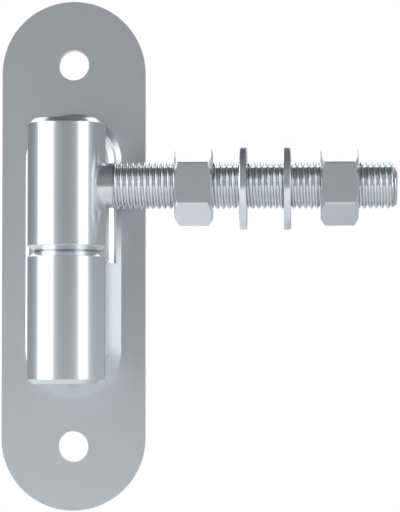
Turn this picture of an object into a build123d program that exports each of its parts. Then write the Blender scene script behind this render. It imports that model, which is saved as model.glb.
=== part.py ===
from build123d import *
from math import radians, tan
import os

# Lift-off gate hinge on a wall plate, in millimetres.
# The origin is the centre of the plate's back face. +X runs out along the stud,
# +Z runs up along the hinge axis, and the front of the plate faces -Y.

# Wall plate
plate_length = 224.0
plate_width = 63.0
plate_thickness = 6.0
plate_hole_spacing = 168.0
plate_hole_diameter = 13.5

# Pedestal between the plate and the lower knuckle
pedestal_length = 124.8
pedestal_width = 42.2
flare_height = 9.0
hinge_standoff = 35.0
boss_height = 3.9
rim_width = 1.2
pocket_depth = 1.8
pocket_draft = 50.0
shoulder_angle = 4.0

# Tenon through the plate and the seam weld round it
tenon_length = 96.0
tenon_width = 22.0
tenon_clearance = 0.25
weld_leg = 3.0

# Knuckles
knuckle_diameter = 33.4
knuckle_length = 56.0
end_chamfer = 2.0
neck_setback = 0.5

# Pivot pin, bush and thrust washer
pin_diameter = 16.0
pin_press_depth = 44.0
pin_lead = 1.5
pin_headroom = 1.5
bush_wall = 2.0
bush_length = 40.0
bush_headroom = 0.3
running_clearance = 0.05
thrust_washer_thickness = 1.0
thrust_washer_recess = 1.0
thrust_washer_play = 0.2

# Threaded stud, drawn at the thread's outside diameter
stud_height = 28.1
stud_seat_depth = 4.5
neck_diameter = 19.4
neck_length = 3.5
neck_fit = 0.05
thread_diameter = 20.0
stud_end_chamfer = 2.0

# Nuts and washers, and the bare thread before, between and after them
nut_across_flats = 30.0
nut_thickness = 16.0
nut_corner_angle = 30.0
nut_washer_face_inset = 0.6
washer_outer_diameter = 37.0
washer_thickness = 3.0
washer_clearance = 0.5
thread_before_inner_nut = 26.3
inner_nut_to_washer = 11.6
grip_gap = 15.8
washer_to_outer_nut = 12.6
thread_tail = 16.4

# Places that follow from the sizes above
axis_depth = plate_thickness + hinge_standoff
knuckle_radius = knuckle_diameter / 2
lower_top = -thrust_washer_thickness / 2
upper_bottom = thrust_washer_thickness / 2
lower_bottom = lower_top - knuckle_length
pin_radius = pin_diameter / 2
bush_inner_radius = pin_radius + running_clearance
bush_outer_radius = bush_inner_radius + bush_wall
thread_start = knuckle_radius + neck_length
inner_nut_x = thread_start + thread_before_inner_nut
inner_washer_x = inner_nut_x + nut_thickness + inner_nut_to_washer
outer_washer_x = inner_washer_x + washer_thickness + grip_gap
outer_nut_x = outer_washer_x + washer_thickness + washer_to_outer_nut
stud_end = outer_nut_x + nut_thickness + thread_tail
above_everything = 2 * plate_length

# The sketch plane through both axes: local x is +X, local y is +Z
axis_plane = Plane.XZ.offset(axis_depth)
hinge_axis = Axis((0, -axis_depth, 0), (0, 0, 1))
stud_axis = Axis((0, -axis_depth, stud_height), (1, 0, 0))

os.makedirs("parts", exist_ok=True)


def write(part, name):
    part.label = name
    export_step(part, f"parts/{name}.step")


def upright_slot(overall_length, overall_width, mode=Mode.ADD):
    """An obround that stands on end in an XZ plane."""
    return SlotOverall(overall_length, overall_width, rotation=90, mode=mode)


# Mounting plate: obround steel plate with two bolt holes and a window for the tenon.
# The window's back edge is bevelled for the seam weld.
window_length = tenon_length + 2 * tenon_clearance
window_width = tenon_width + 2 * tenon_clearance

with BuildPart() as mounting_plate:
    with BuildSketch(Plane.XZ):
        upright_slot(plate_length, plate_width)
        with Locations((0, plate_hole_spacing / 2), (0, -plate_hole_spacing / 2)):
            Circle(plate_hole_diameter / 2, mode=Mode.SUBTRACT)
    extrude(amount=plate_thickness)
    with BuildSketch(Plane.XZ):
        upright_slot(window_length, window_width)
    extrude(amount=plate_thickness, mode=Mode.SUBTRACT)
    with BuildSketch(Plane.XZ):
        upright_slot(window_length + 2 * weld_leg, window_width + 2 * weld_leg)
    extrude(amount=weld_leg, taper=45, mode=Mode.SUBTRACT)
write(mounting_plate.part, "mounting_plate")

# Seam weld: fills the bevel round the tenon and is ground flush with the plate's back.
with BuildPart() as weld_seam:
    with BuildSketch(Plane.XZ):
        upright_slot(window_length + 2 * weld_leg, window_width + 2 * weld_leg)
    extrude(amount=weld_leg, taper=45)
    with BuildSketch(Plane.XZ):
        upright_slot(tenon_length, tenon_width)
    extrude(amount=weld_leg, mode=Mode.SUBTRACT)
write(weld_seam.part, "weld_seam")

# Relief behind the upper knuckle, as a cutter. It clears all that stands in front of the
# boss, sinks a drafted pocket into the boss that leaves an even rim, and ends below in a
# shoulder that is turned about the hinge axis and falls away from the knuckle.
neck_end = 2 * (-lower_bottom - neck_setback)
boss_share = boss_height / flare_height
boss_length = pedestal_length - boss_share * (pedestal_length - neck_end)
boss_width = pedestal_width - boss_share * (pedestal_width - knuckle_diameter)
shoulder_start = lower_top - end_chamfer
shoulder_reach = pedestal_length
shoulder_end = shoulder_start - (shoulder_reach - knuckle_radius) * tan(radians(shoulder_angle))

with BuildPart() as relief:
    with BuildSketch(Plane.XZ.offset(plate_thickness + boss_height)):
        Rectangle(above_everything, 2 * above_everything)
    extrude(amount=above_everything)
    with BuildSketch(Plane.XZ.offset(plate_thickness + boss_height)):
        upright_slot(boss_length - 2 * rim_width, boss_width - 2 * rim_width)
    extrude(amount=-pocket_depth, taper=pocket_draft)
    with BuildSketch(axis_plane):
        with BuildLine():
            Polyline(
                (0, shoulder_start),
                (knuckle_radius, shoulder_start),
                (shoulder_reach, shoulder_end),
                (shoulder_reach, above_everything),
                (0, above_everything),
                close=True,
            )
        make_face()
    revolve(axis=hinge_axis, mode=Mode.INTERSECT)

# Lower knuckle and pedestal: one forging. An obround foot flares in to a neck whose
# sides run straight out and meet the knuckle at its widest. The relief clears the
# upper half, the knuckle is turned on the hinge axis, and the tenon stands out behind.
pin_bottom = lower_top - pin_press_depth

with BuildPart() as lower_knuckle:
    with BuildSketch(Plane.XZ.offset(plate_thickness)):
        upright_slot(pedestal_length, pedestal_width)
    with BuildSketch(Plane.XZ.offset(plate_thickness + flare_height)):
        upright_slot(neck_end, knuckle_diameter)
    loft(ruled=True)
    with BuildSketch(Plane.XZ.offset(plate_thickness + flare_height)):
        upright_slot(neck_end, knuckle_diameter)
    extrude(amount=hinge_standoff - flare_height)
    add(relief.part, mode=Mode.SUBTRACT)
    with BuildSketch(axis_plane):
        with BuildLine():
            Polyline(
                (0, lower_bottom),
                (knuckle_radius - end_chamfer, lower_bottom),
                (knuckle_radius, lower_bottom + end_chamfer),
                (knuckle_radius, lower_top - end_chamfer),
                (knuckle_radius - end_chamfer, lower_top),
                (0, lower_top),
                close=True,
            )
        make_face()
    revolve(axis=hinge_axis)
    with BuildSketch(Plane.XY.offset(pin_bottom)):
        with Locations((0, -axis_depth)):
            Circle(pin_radius)
    extrude(amount=pin_press_depth, mode=Mode.SUBTRACT)
    with BuildSketch(Plane.XZ):
        upright_slot(tenon_length, tenon_width)
    extrude(amount=plate_thickness)
write(lower_knuckle.part, "lower_knuckle")

# Pivot pin: pressed into the lower knuckle, with a lead at the top for the bush.
pin_top = upper_bottom + bush_length - pin_headroom

with BuildPart() as pivot_pin:
    with BuildSketch(axis_plane):
        with BuildLine():
            Polyline(
                (0, pin_bottom),
                (pin_radius, pin_bottom),
                (pin_radius, pin_top - pin_lead),
                (pin_radius - pin_lead, pin_top),
                (0, pin_top),
                close=True,
            )
        make_face()
    revolve(axis=hinge_axis)
write(pivot_pin.part, "pivot_pin")

# Thrust washer: carries the gate's weight in the groove between the knuckles.
with BuildPart() as thrust_washer:
    with BuildSketch(Plane.XY.offset(lower_top)):
        with Locations((0, -axis_depth)):
            Circle(knuckle_radius - end_chamfer - thrust_washer_recess)
            Circle(pin_radius + thrust_washer_play, mode=Mode.SUBTRACT)
    extrude(amount=thrust_washer_thickness)
write(thrust_washer.part, "thrust_washer")

# Bearing bush: bronze sleeve between the pin and the upper knuckle.
with BuildPart() as bearing_bush:
    with BuildSketch(Plane.XY.offset(upper_bottom)):
        with Locations((0, -axis_depth)):
            Circle(bush_outer_radius)
            Circle(bush_inner_radius, mode=Mode.SUBTRACT)
    extrude(amount=bush_length)
write(bearing_bush.part, "bearing_bush")

# Upper knuckle: closed at the top, bored from below for the bush, and drilled from
# the side with a flat-bottomed seat for the stud.
upper_top = upper_bottom + knuckle_length
bore_top = upper_bottom + bush_length + bush_headroom
bore_radius = bush_outer_radius + running_clearance
stud_seat_x = knuckle_radius - stud_seat_depth

with BuildPart() as upper_knuckle:
    with BuildSketch(axis_plane):
        with BuildLine():
            Polyline(
                (0, upper_top),
                (knuckle_radius - end_chamfer, upper_top),
                (knuckle_radius, upper_top - end_chamfer),
                (knuckle_radius, upper_bottom + end_chamfer),
                (knuckle_radius - end_chamfer, upper_bottom),
                (bore_radius, upper_bottom),
                (bore_radius, bore_top),
                (0, bore_top),
                close=True,
            )
        make_face()
    revolve(axis=hinge_axis)
    with BuildSketch(Plane(origin=(stud_seat_x, -axis_depth, stud_height), z_dir=(1, 0, 0))):
        Circle(neck_diameter / 2 + neck_fit)
    extrude(amount=stud_seat_depth, mode=Mode.SUBTRACT)
write(upper_knuckle.part, "upper_knuckle")

# Threaded stud: a plain neck seated in the knuckle, then the thread to its chamfered end.
neck_radius = neck_diameter / 2
thread_radius = thread_diameter / 2

with BuildPart() as threaded_stud:
    with BuildSketch(axis_plane):
        with BuildLine():
            Polyline(
                (stud_seat_x, stud_height),
                (stud_seat_x, stud_height + neck_radius),
                (thread_start, stud_height + neck_radius),
                (thread_start + thread_radius - neck_radius, stud_height + thread_radius),
                (stud_end - stud_end_chamfer, stud_height + thread_radius),
                (stud_end, stud_height + thread_radius - stud_end_chamfer),
                (stud_end, stud_height),
                close=True,
            )
        make_face()
    revolve(axis=stud_axis)
write(threaded_stud.part, "threaded_stud")


def hex_nut(start_x, name):
    """A hexagon nut on the stud, one flat to the front, its corners turned off at each end."""
    face_radius = nut_across_flats / 2 - nut_washer_face_inset
    cones_meet = face_radius + nut_thickness / 2 / tan(radians(nut_corner_angle))
    bore = thread_radius + running_clearance
    middle_x = start_x + nut_thickness / 2
    end_x = start_x + nut_thickness
    with BuildPart() as nut:
        start_plane = Plane(origin=(start_x, -axis_depth, stud_height), x_dir=(0, 0, 1), z_dir=(1, 0, 0))
        with BuildSketch(start_plane):
            RegularPolygon(nut_across_flats / 2, 6, major_radius=False)
        extrude(amount=nut_thickness)
        with BuildSketch(axis_plane):
            with BuildLine():
                Polyline(
                    (start_x, stud_height + bore),
                    (start_x, stud_height + face_radius),
                    (middle_x, stud_height + cones_meet),
                    (end_x, stud_height + face_radius),
                    (end_x, stud_height + bore),
                    close=True,
                )
            make_face()
        revolve(axis=stud_axis, mode=Mode.INTERSECT)
    write(nut.part, name)


def flat_washer(start_x, name):
    """A plain washer that hangs on the stud, so its clearance lies below."""
    outer_radius = washer_outer_diameter / 2
    inner_radius = thread_radius + washer_clearance
    hang_height = stud_height - washer_clearance + running_clearance
    with BuildPart() as washer:
        with BuildSketch(Plane(origin=(start_x, -axis_depth, hang_height), z_dir=(1, 0, 0))):
            Circle(outer_radius)
            Circle(inner_radius, mode=Mode.SUBTRACT)
        extrude(amount=washer_thickness)
    write(washer.part, name)


hex_nut(inner_nut_x, "inner_nut")
flat_washer(inner_washer_x, "inner_washer")
flat_washer(outer_washer_x, "outer_washer")
hex_nut(outer_nut_x, "outer_nut")
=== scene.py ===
from math import cos, degrees, pi, radians, sin, sqrt, tan

import bmesh
import bpy
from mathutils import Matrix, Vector


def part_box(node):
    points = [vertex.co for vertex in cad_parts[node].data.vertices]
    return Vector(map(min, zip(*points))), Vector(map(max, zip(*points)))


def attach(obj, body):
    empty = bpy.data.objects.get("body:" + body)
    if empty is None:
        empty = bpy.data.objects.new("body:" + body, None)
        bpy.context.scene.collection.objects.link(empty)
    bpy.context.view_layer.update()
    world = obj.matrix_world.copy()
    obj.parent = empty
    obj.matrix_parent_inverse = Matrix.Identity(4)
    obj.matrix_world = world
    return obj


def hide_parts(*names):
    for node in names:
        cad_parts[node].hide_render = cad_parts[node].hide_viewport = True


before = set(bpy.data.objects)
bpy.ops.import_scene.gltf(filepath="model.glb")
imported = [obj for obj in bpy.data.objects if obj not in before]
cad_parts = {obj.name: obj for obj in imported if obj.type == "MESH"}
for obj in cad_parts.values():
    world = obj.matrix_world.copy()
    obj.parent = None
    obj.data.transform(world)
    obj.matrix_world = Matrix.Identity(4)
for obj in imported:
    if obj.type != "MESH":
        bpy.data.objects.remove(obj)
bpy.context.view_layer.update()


# Wall plate
# An obround of flat steel, blanked out and bored for two bolts, which hold it to the post.
# It carries the same bright zinc as the rest, over a rolled face that blurs what it mirrors.
class Wire:
    """A socket of a material's nodes that takes part in arithmetic."""

    def __init__(self, tree, socket=None):
        self.tree = tree
        self.socket = socket

    def node(self, kind, settings, inputs, output=0):
        """Any node: its settings are made first, then its sockets get values or links."""
        made = self.tree.nodes.new(kind)
        for name, value in settings.items():
            setattr(made, name, value)
        for name, value in inputs.items():
            if isinstance(value, Wire):
                self.tree.links.new(value.socket, made.inputs[name])
            else:
                made.inputs[name].default_value = value
        return Wire(self.tree, made.outputs[output])

    def math(self, operation, first, second=0.0):
        return self.node("ShaderNodeMath", {"operation": operation}, {0: first, 1: second})

    def __add__(self, other):
        return self.math("ADD", self, other)

    __radd__ = __add__

    def __sub__(self, other):
        return self.math("SUBTRACT", self, other)

    def __rsub__(self, other):
        return self.math("SUBTRACT", other, self)

    def __mul__(self, other):
        return self.math("MULTIPLY", self, other)

    __rmul__ = __mul__

    def rise(self, low, high):
        """0 below low, 1 above high, smooth between."""
        return self.node("ShaderNodeMapRange", {"interpolation_type": "SMOOTHSTEP"},
                         {"Value": self, "From Min": low, "From Max": high})

    def band(self, low, high, soft):
        """1 between low and high, fading to 0 over a soft edge at each side."""
        return self.rise(low - soft, low + soft) * (1.0 - self.rise(high - soft, high + soft))

    def along(self, axis):
        """One coordinate of a place."""
        return self.node("ShaderNodeSeparateXYZ", {}, {"Vector": self}, axis)


zinc_cool = (0.785, 0.81, 0.835)
zinc_warm = (0.81, 0.815, 0.84)


def metal(name, haze, grain, grain_lift, cool=zinc_cool, warm=zinc_warm, painted_shade=None):
    """A worked metal face, of bright zinc unless told otherwise. haze is its blur, grain its
    lines per metre along X, Y and Z, and grain_lift their height in metres. The last
    argument, where given, is painted shade: the share of its tone kept at a place."""
    material = bpy.data.materials.new(name)
    material.use_nodes = True
    shader = material.node_tree.nodes["Principled BSDF"]
    shader.inputs["Metallic"].default_value = 1.0
    start = Wire(material.node_tree)
    place = start.node("ShaderNodeTexCoord", {}, {}, output="Object")
    drift = start.node("ShaderNodeTexNoise", {},
                       {"Vector": place, "Scale": 26.0, "Detail": 3.0}, "Fac")
    tint = start.node("ShaderNodeMix", {"data_type": "RGBA"},
                      {0: drift.rise(0.35, 0.65), 6: (*cool, 1.0), 7: (*warm, 1.0)}, 2)
    # Painted shade, where given, darkens the tint at a place.
    if painted_shade:
        tint = start.node("ShaderNodeMix", {"data_type": "RGBA", "blend_type": "MULTIPLY"},
                          {0: 1.0, 6: tint, 7: painted_shade(place)}, 2)
    combed = start.node("ShaderNodeMapping", {}, {"Vector": place, "Scale": grain})
    lines = start.node("ShaderNodeTexNoise", {},
                       {"Vector": combed, "Scale": 1.0, "Detail": 4.0}, "Fac")
    mist = start.node("ShaderNodeTexNoise", {},
                      {"Vector": place, "Scale": 90.0, "Detail": 2.0}, "Fac")
    roughness = haze * (0.8 + 0.25 * lines + 0.15 * mist)
    relief = start.node("ShaderNodeBump", {},
                        {"Strength": 0.25, "Distance": grain_lift, "Height": lines})
    for socket, wire in (("Base Color", tint), ("Roughness", roughness), ("Normal", relief)):
        material.node_tree.links.new(wire.socket, shader.inputs[socket])
    return material


def dress(node, material):
    """Gives a frame part its finish."""
    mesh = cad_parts[node].data
    mesh.materials.clear()
    mesh.materials.append(material)


def plate_painted_shade(place):
    """Painted shade: the plate's zinc is darker along its right side, beside the knuckles."""
    shaded_right_side = place.along("X").rise(0.0, 0.024)
    beside_knuckles = place.along("Z").band(-0.052, 0.048, 0.012)
    return 0.935 - 0.11 * shaded_right_side * beside_knuckles


# The plate's zinc carries painted shade along its right side.
dress("mounting_plate", metal("plate_zinc", haze=0.30, grain=(500.0, 500.0, 90.0),
                              grain_lift=0.00002, painted_shade=plate_painted_shade))


# Lower knuckle and pedestal
# One steel forging: the pedestal flares from an obround foot into the knuckle's neck.
# The knuckle and the dish behind the upper one are machined, then zinc plated.
dress("lower_knuckle", metal("forging_zinc", haze=0.20, grain=(60.0, 60.0, 1400.0),
                             grain_lift=0.000006))


# Seam weld
# A steel bead in the bevel round the tenon, at the back of the plate.
# It is ground flush, so only the grinder's cross marks and a duller zinc tell it apart.
dress("weld_seam", metal("weld_metal", haze=0.42, grain=(900.0, 300.0, 120.0),
                         grain_lift=0.00004, cool=(0.60, 0.61, 0.62), warm=(0.66, 0.65, 0.63)))


# Pivot pin
# A ground steel pin, pressed into the lower knuckle. The upper knuckle turns and lifts on it.
# It is left bare and greased, and shows only when the gate is lifted off.
dress("pivot_pin", metal("pin_steel", haze=0.16, grain=(80.0, 80.0, 3000.0),
                         grain_lift=0.000003, cool=(0.56, 0.57, 0.58), warm=(0.60, 0.59, 0.57)))


# Thrust washer
# A hard steel ring in the groove between the knuckles, where it carries the gate's weight.
# Its dark tone is painted shade for the groove between the knuckles, and it lies loose round the
# pin.
dress("thrust_washer", metal("thrust_steel_painted_shade", haze=0.24, grain=(80.0, 80.0, 2500.0),
                             grain_lift=0.000004,
                             cool=(0.40, 0.405, 0.415), warm=(0.44, 0.435, 0.43)))


# Bearing bush
# A bronze sleeve between the pin and the upper knuckle's bore, free on both.
# It is turned all over, and shows only when the gate is lifted off.
dress("bearing_bush", metal("bearing_bronze", haze=0.26, grain=(80.0, 80.0, 2500.0),
                            grain_lift=0.000006,
                            cool=(0.62, 0.45, 0.24), warm=(0.68, 0.50, 0.27)))


# Upper knuckle
# Round steel bar, turned and chamfered at both ends, bored from below for the bush
# and drilled from the side for the stud. Its zinc is the brightest of the hinge.
dress("upper_knuckle", metal("barrel_zinc", haze=0.20, grain=(60.0, 60.0, 1400.0),
                             grain_lift=0.000005))


# Threaded stud
# M20 steel stud with a short plain neck, seated in the knuckle. The coarse right-hand
# thread is rolled, so its crests and roots are both round. Zinc plated.
stud_low, stud_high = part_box("threaded_stud")
stud_y = (stud_low.y + stud_high.y) / 2
stud_z = (stud_low.z + stud_high.z) / 2
thread_radius = (stud_high.z - stud_low.z) / 2
neck_radius = 0.0097
neck_length = 0.0035
thread_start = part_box("upper_knuckle")[1].x + neck_length
thread_pitch = 0.0025
crest_radius = 0.00046
root_radius = 0.00046
flank_angle = radians(60)
stud_chamfer = 0.002
thread_steps = 72


def finished(name, bm, material, smooth_below=30.0):
    """Turns worked mesh into an object, with every edge sharper than the angle left crisp."""
    bmesh.ops.recalc_face_normals(bm, faces=bm.faces)
    mesh = bpy.data.meshes.new(name)
    bm.to_mesh(mesh)
    bm.free()
    mesh.shade_smooth()
    mesh.set_sharp_from_angle(angle=radians(smooth_below))
    mesh.materials.append(material)
    made = bpy.data.objects.new(name, mesh)
    bpy.context.scene.collection.objects.link(made)
    return made


def about_stud(x, radius, turn, drop=0.0):
    """A point at x along the stud, at a radius and an angle about its axis or a line below it."""
    return Vector((x, stud_y + radius * cos(turn), stud_z - drop + radius * sin(turn)))


def turned_ring(bm, outline, steps, drop=0.0):
    """Turns a closed outline of (x, radius) points about the stud's axis or a line below it."""
    rings = []
    for step in range(steps):
        turn = 2 * pi * step / steps
        points = outline(turn) if callable(outline) else outline
        rings.append([bm.verts.new(about_stud(x, radius, turn, drop)) for x, radius in points])
    for ring, following in zip(rings, rings[1:] + rings[:1]):
        for here in range(len(ring)):
            beyond = (here + 1) % len(ring)
            bm.faces.new((ring[here], ring[beyond], following[beyond], following[here]))


def thread_outline():
    """Offset along the axis and radius over one pitch, from one root to the next."""
    leans = [flank_angle * step / 4 for step in range(-4, 5)]
    crest_centre = thread_radius - crest_radius
    crest = [(crest_radius * sin(lean), crest_centre + crest_radius * cos(lean)) for lean in leans]
    flank_width = thread_pitch / 2 - (crest_radius + root_radius) * sin(flank_angle)
    root_top = crest[-1][1] - flank_width * tan(flank_angle)
    root_centre = root_top + root_radius * cos(flank_angle)
    root = [(root_radius * sin(lean), root_centre - root_radius * cos(lean)) for lean in leans]
    falling_in = [(offset - thread_pitch / 2, radius) for offset, radius in root if offset >= 0]
    rising_out = [(offset + thread_pitch / 2, radius) for offset, radius in root if offset < 0]
    return falling_in + crest + rising_out


def cut_thread(bm):
    """The thread's skin as one strip wound round the stud, cut square and capped at both ends."""
    outline = thread_outline()
    turns = int((stud_high.x - thread_start) / thread_pitch) + 3
    rows = []
    for step in range(turns * thread_steps + 1):
        turn = 2 * pi * step / thread_steps
        along = thread_start + thread_pitch * (step / thread_steps - 1)
        rows.append([bm.verts.new(about_stud(along + offset, radius, turn))
                     for offset, radius in outline])
    for step in range(len(rows) - 1):
        row = list(rows[step])
        following = list(rows[step + 1])
        if step + thread_steps + 1 < len(rows):
            row.append(rows[step + thread_steps][0])
            following.append(rows[step + thread_steps + 1][0])
        for here in range(len(row) - 1):
            bm.faces.new((row[here], row[here + 1], following[here + 1], following[here]))
    for x, outward in ((thread_start, -1), (stud_high.x, 1)):
        everything = bm.verts[:] + bm.edges[:] + bm.faces[:]
        bmesh.ops.bisect_plane(bm, geom=everything, plane_co=(x, 0, 0), plane_no=(outward, 0, 0),
                               clear_outer=True)
    for vert in bm.verts:
        limit = thread_radius - stud_chamfer + (stud_high.x - vert.co.x)
        across = Vector((0, vert.co.y - stud_y, vert.co.z - stud_z))
        if across.length > limit:
            vert.co = Vector((vert.co.x, stud_y, stud_z)) + across.normalized() * limit
    open_edges = [edge for edge in bm.edges if edge.is_boundary]
    bmesh.ops.holes_fill(bm, edges=open_edges, sides=0)


stud_mesh = bmesh.new()
cut_thread(stud_mesh)
neck_ease = 0.0002
neck_centre = 0.0004
neck_steps = 144
turned_ring(stud_mesh, [
    (stud_low.x, neck_centre),
    (stud_low.x, neck_radius),
    (thread_start - neck_ease, neck_radius),
    (thread_start, neck_radius - neck_ease),
    (thread_start + neck_ease, neck_centre),
], neck_steps)

# Painted shade darkens the thread's flanks, between these radii from the axis.
flank_low_radius = 0.00905
flank_high_radius = 0.00968
flank_blend = 0.00006
flank_shade = 0.38


def stud_painted_shade(place):
    """Painted shade: the thread's flanks are darker than its crests and roots."""
    across = place.along("Y") - stud_y
    up = place.along("Z") - stud_z
    from_axis = place.math("SQRT", across * across + up * up)
    return 1.0 - flank_shade * from_axis.band(flank_low_radius, flank_high_radius, flank_blend)


stud_zinc = metal("stud_zinc", haze=0.16, grain=(1500.0, 90.0, 90.0), grain_lift=0.000004,
                  painted_shade=stud_painted_shade)
stud = finished("threaded_stud_rolled", stud_mesh, stud_zinc)
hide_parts("threaded_stud")
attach(stud, "leaf")


# Hexagon nuts
# Two M20 steel nuts, forged and tapped. A 30 degree cutter turned the corners off both
# faces, which leaves the arcs on the flats. Zinc plated, and free to run on the stud.
nut_zinc = metal("nut_zinc", haze=0.22, grain=(300.0, 300.0, 300.0), grain_lift=0.000008)
nut_steps = 6 * 48
nut_half_width = 0.015
nut_face_inset = 0.0006
nut_corner_angle = radians(30)
nut_countersink = 0.0009
nut_bore = thread_radius + 0.00005
corner_ease = 0.0005
nut_rim_ease = 0.0003


def flat_radius(turn):
    """The hexagon's radius at an angle, with its corners eased."""
    off_flat = abs((turn + pi / 6) % (pi / 3) - pi / 6)
    off_corner = pi / 6 - off_flat
    ease_centre = (nut_half_width - corner_ease) / cos(pi / 6)
    sideways = ease_centre * sin(off_corner)
    if sideways < corner_ease * sin(pi / 6):
        return ease_centre * cos(off_corner) + sqrt(corner_ease ** 2 - sideways ** 2)
    return nut_half_width / cos(off_flat)


def hexagon_nut(node):
    """One nut, as long as the frame's own, with its bore, countersinks and turned corners."""
    low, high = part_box(node)
    face_radius = nut_half_width - nut_face_inset
    rim_step = 0.25 * nut_rim_ease

    def outline(turn):
        flat = flat_radius(turn)
        drop = (flat - face_radius) * tan(nut_corner_angle)
        return [
            (low.x + nut_countersink, nut_bore),
            (low.x, nut_bore + nut_countersink),
            (low.x, face_radius - nut_rim_ease),
            (low.x + rim_step, face_radius + rim_step),
            (low.x + drop, flat),
            (high.x - drop, flat),
            (high.x - rim_step, face_radius + rim_step),
            (high.x, face_radius - nut_rim_ease),
            (high.x, nut_bore + nut_countersink),
            (high.x - nut_countersink, nut_bore),
        ]

    bm = bmesh.new()
    turned_ring(bm, outline, nut_steps)
    return finished(node + "_plated", bm, nut_zinc, smooth_below=20.0)


for node in ("inner_nut", "outer_nut"):
    nut = hexagon_nut(node)
    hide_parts(node)
    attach(nut, node)


# Flat washers
# Punched from 3 mm sheet: the punch rolls one rim over and leaves the other crisp.
# They hang loose on the stud, one on each side of the gate's frame. Zinc plated.
washer_zinc = metal("washer_zinc", haze=0.20, grain=(900.0, 120.0, 120.0), grain_lift=0.000006)
washer_steps = 192
washer_clearance = 0.0005
washer_roll = 0.0005
washer_burr = 0.00012
hole_ease = 0.0003


def punched_washer(node, rolled_at_high):
    """One washer, with the punch's rolled rim on one face and its burr on the other."""
    low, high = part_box(node)
    outer = (high.z - low.z) / 2
    inner = thread_radius + washer_clearance
    drop = stud_z - (low.z + high.z) / 2
    rolled, crisp = (high.x, low.x) if rolled_at_high else (low.x, high.x)
    inward = 1 if crisp > rolled else -1
    leans = [radians(step * 15) for step in range(7)]
    corner = [(rolled + inward * washer_roll * (1 - sin(lean)),
               outer - washer_roll * (1 - cos(lean)))
              for lean in leans]
    outline = corner + [
        (rolled, inner + hole_ease),
        (rolled + inward * hole_ease, inner),
        (crisp - inward * washer_burr, inner),
        (crisp, inner + washer_burr),
        (crisp, outer - washer_burr),
        (crisp - inward * washer_burr, outer),
    ]
    bm = bmesh.new()
    turned_ring(bm, outline, washer_steps, drop)
    return finished(node + "_punched", bm, washer_zinc, smooth_below=35.0)


for node, rolled_at_high in (("inner_washer", False), ("outer_washer", True)):
    washer = punched_washer(node, rolled_at_high)
    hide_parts(node)
    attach(washer, node)


# Floor
# A plain pale disc, well below the hinge, which keeps its soft shadow. It looks white to the
# camera. In the metal's reflections it glows with painted light, which is weaker close by and
# holds a painted shadow behind the outer nut.
floor_level = -0.30
floor_radius = 2.3

floor_work = bmesh.new()
bmesh.ops.create_circle(floor_work, cap_ends=True, segments=96, radius=floor_radius)
bmesh.ops.translate(floor_work, verts=floor_work.verts, vec=(0.05, 0.0, floor_level))
floor_mesh = bpy.data.meshes.new("floor")
floor_work.to_mesh(floor_mesh)
floor_work.free()
floor = bpy.data.objects.new("floor", floor_mesh)
bpy.context.scene.collection.objects.link(floor)
floor_paint = bpy.data.materials.new("floor_paint")
floor_paint.use_nodes = True
floor_shader = floor_paint.node_tree.nodes["Principled BSDF"]
floor_shader.inputs["Base Color"].default_value = (0.84, 0.865, 0.87, 1.0)
floor_shader.inputs["Roughness"].default_value = 0.9
floor_shader.inputs["Emission Strength"].default_value = 1.0
floor_start = Wire(floor_paint.node_tree)
floor_place = floor_start.node("ShaderNodeTexCoord", {}, {}, "Object")
seen = floor_start.node("ShaderNodeLightPath", {}, {}, "Is Camera Ray")
mirrored = floor_start.node("ShaderNodeLightPath", {}, {}, "Is Glossy Ray")
# Painted light for reflections only: weaker near the hinge, with a painted shadow behind the outer
# nut.
painted_shade_near = floor_place.along("Y").rise(-0.7, -0.1)
painted_shadow_right = floor_place.along("X").rise(0.02, 0.13) * floor_place.along("Y").rise(0.0, 0.1)
floor_painted_glow = 0.3 * seen + mirrored * (0.35 - 0.17 * painted_shade_near - 0.26 * painted_shadow_right)
floor_paint.node_tree.links.new(floor_painted_glow.socket, floor_shader.inputs["Emission Color"])
floor_mesh.materials.append(floor_paint)


# Light tent
# A closed tent of cloth panels round the hinge, as bright metal is photographed in: grey in
# front, dark overhead, white behind, and a window on each side. The camera looks through it.
# Places on it are given by two angles in degrees: to the side from the front, and up.
tent_radius = 2.6
tent_work = bmesh.new()
bmesh.ops.create_icosphere(tent_work, subdivisions=5, radius=tent_radius)
tent_mesh = bpy.data.meshes.new("light_tent")
tent_work.to_mesh(tent_mesh)
tent_work.free()
tent = bpy.data.objects.new("light_tent", tent_mesh)
bpy.context.scene.collection.objects.link(tent)
tent.visible_camera = False

tent_cloth = bpy.data.materials.new("tent_cloth")
tent_cloth.use_nodes = True
tent_shader = tent_cloth.node_tree.nodes["Principled BSDF"]
tent_shader.inputs["Base Color"].default_value = (0.0, 0.0, 0.0, 1.0)
tent_shader.inputs["Specular IOR Level"].default_value = 0.0
tent_shader.inputs["Emission Strength"].default_value = 1.0
tent_start = Wire(tent_cloth.node_tree)
tent_place = tent_start.node("ShaderNodeTexCoord", {}, {}, output="Object")
towards_front = -1.0 * tent_place.along("Y")
side_angle = degrees(1) * tent_start.math("ARCTAN2", tent_place.along("X"), towards_front)
height_angle = degrees(1) * tent_start.math("ARCSINE", tent_place.along("Z") * (1 / tent_radius))
spill_half_angle = 6.0


def window(low, high, top, glare, spill):
    """A lit window between two side angles and up to a height, and its spill on the cloth."""
    off_centre = tent_start.math("ABSOLUTE", side_angle - (low + high) / 2)
    beyond = tent_start.math("MAXIMUM", off_centre - (high - low) / 2, 0.0)
    fading = tent_start.math("POWER", 0.5, beyond * (1 / spill_half_angle))
    across = glare * side_angle.band(low, high, 2.0) + spill * fading
    return across * height_angle.band(-22.0, top, 7.0)


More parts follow.
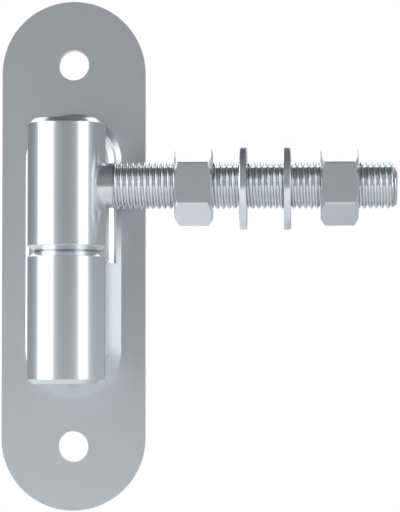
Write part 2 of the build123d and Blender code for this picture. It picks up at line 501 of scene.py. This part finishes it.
# The front cloth is a little brighter towards the floor and darker overhead. Its left end is
# dimmer, and its right end is lit from below.
near_level = 1.0 - height_angle.rise(1.0, 5.0)
near_floor = 1.0 - height_angle.rise(-8.0, 2.0)
overhead = height_angle.rise(18.0, 80.0)
front = 0.325 + 0.06 * near_level + 0.09 * near_floor - 0.16 * overhead
left_end = 0.055 * (1.0 - side_angle.rise(-125.0, -95.0))
right_end = 0.10 * side_angle.band(68.0, 150.0, 8.0) * (1.0 - height_angle.rise(0.0, 5.0))

# Behind, a dull strip stands up from the floor in the middle. White cloth spreads from it
# higher up, whitest near its top, and ends below the dark cloth overhead.
away = tent_start.math("ABSOLUTE", side_angle)
behind_low = away.rise(166.0, 174.0) * (1.0 - height_angle.rise(50.0, 64.0))
below_ridge = 1.0 - height_angle.rise(54.0, 60.0)
behind_high = away.rise(112.0, 132.0) * height_angle.rise(12.0, 24.0) * below_ridge
behind_top = away.rise(140.0, 155.0) * height_angle.rise(40.0, 50.0)
behind = tent_start.math("MAXIMUM", behind_low, behind_high)
behind_tone = tent_start.math("MAXIMUM", 0.7 * behind_low, (1.3 + 1.1 * behind_top) * behind_high)

# The left window is wide and tall, and the right one narrow and low. Both are brighter higher up.
left_glare = 1.3 + 0.5 * height_angle.rise(8.0, 20.0)
right_glare = 0.65 + 1.2 * height_angle.rise(2.0, 8.0)
left_window = window(low=-85.0, high=-36.0, top=45.0, glare=left_glare, spill=0.45)
right_window = window(low=41.0, high=68.0, top=26.0, glare=right_glare, spill=0.45)

# The cloth's white hem meets the floor all round.
below = 1.0 - height_angle.rise(-14.0, -4.0)
cloth = (front + right_end - left_end) * (1.0 - behind) + behind_tone
brightness = cloth * (1.0 - below) + 0.82 * below + (left_window + right_window)
daylight = (0.97, 0.985, 1.0)
glow = tent_start.node("ShaderNodeVectorMath", {"operation": "SCALE"},
                       {0: daylight, "Scale": brightness})
tent_cloth.node_tree.links.new(glow.socket, tent_shader.inputs["Emission Color"])
tent_mesh.materials.append(tent_cloth)


# Background
# Plain white all round. Only the camera sees it, because the tent stands between it and the
# hinge for everything else.
world = bpy.data.worlds.new("white_room")
world.use_nodes = True
world.node_tree.nodes["Background"].inputs["Color"].default_value = (1.0, 1.0, 1.0, 1.0)
world.node_tree.nodes["Background"].inputs["Strength"].default_value = 1.0
bpy.context.scene.world = world


# Camera
# It stands low and to the right of the hinge, level with the lower knuckle, with a long lens.
# It looks a little upwards, as the photograph was taken.
camera_data = bpy.data.cameras.new("camera")
camera_data.lens = 192.0
camera_data.sensor_width = 36.0
camera_data.clip_end = 20.0
camera = bpy.data.objects.new("camera", camera_data)
camera.location = (0.1015, -1.203, -0.0545)
aim = Vector((0.05706, -0.041, -0.0020))
camera.rotation_mode = "QUATERNION"
camera.rotation_quaternion = (aim - camera.location).to_track_quat("-Z", "Y")
bpy.context.scene.collection.objects.link(camera)
bpy.context.scene.camera = camera
bpy.context.scene.view_settings.view_transform = "Standard"
